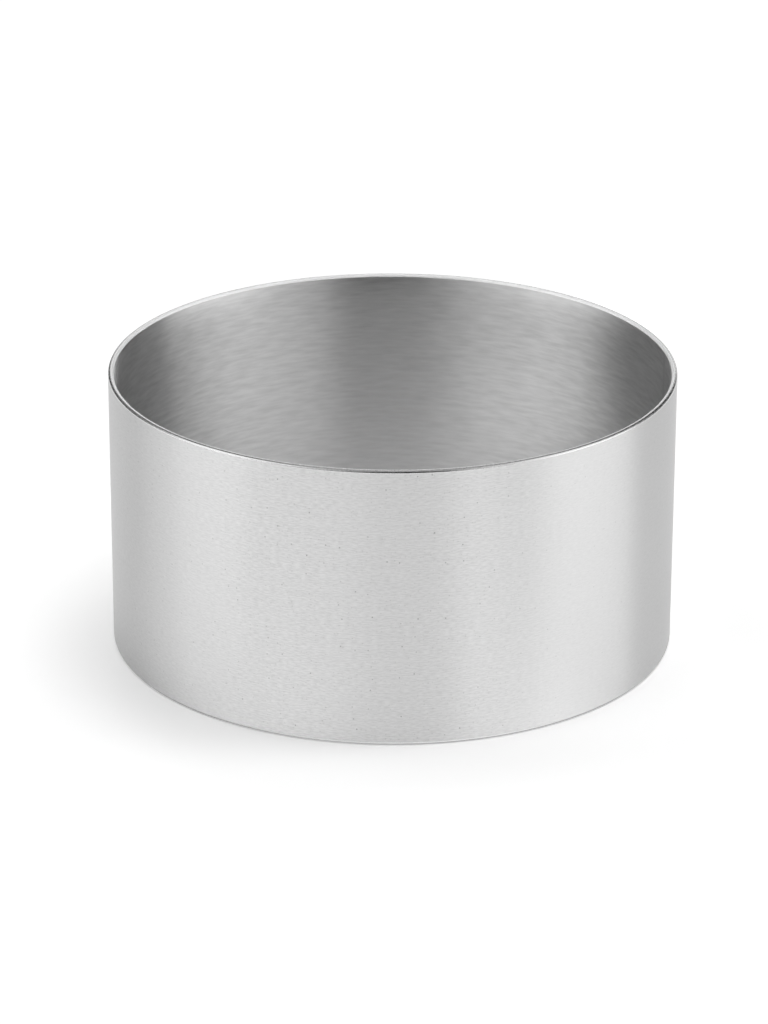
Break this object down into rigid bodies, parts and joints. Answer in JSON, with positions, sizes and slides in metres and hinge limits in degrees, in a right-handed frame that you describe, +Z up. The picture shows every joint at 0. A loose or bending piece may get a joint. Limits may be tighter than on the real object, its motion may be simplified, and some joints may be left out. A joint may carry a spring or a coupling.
{
  "type": "food ring",
  "caption": "Open round hoop of brushed stainless steel with rounded rims and a flush butt weld, used to mould, press and plate portions of food.",
  "frame": {"origin": "centre of the hoop, in the plane that the lower rim stands on", "axes": "+Z up along the hoop's axis, -Y towards the front that the picture shows"},
  "size_m": [0.1, 0.1, 0.05],
  "materials": {
    "brushed_steel": "stainless steel, brushed round the hoop, inside and out",
    "weld_steel": "stainless weld metal, ground flush and brushed over"
  },
  "bodies": {
    "root": {"rolled_band": "brushed_steel", "weld_seam": "weld_steel"}
  },
  "joints": []
}
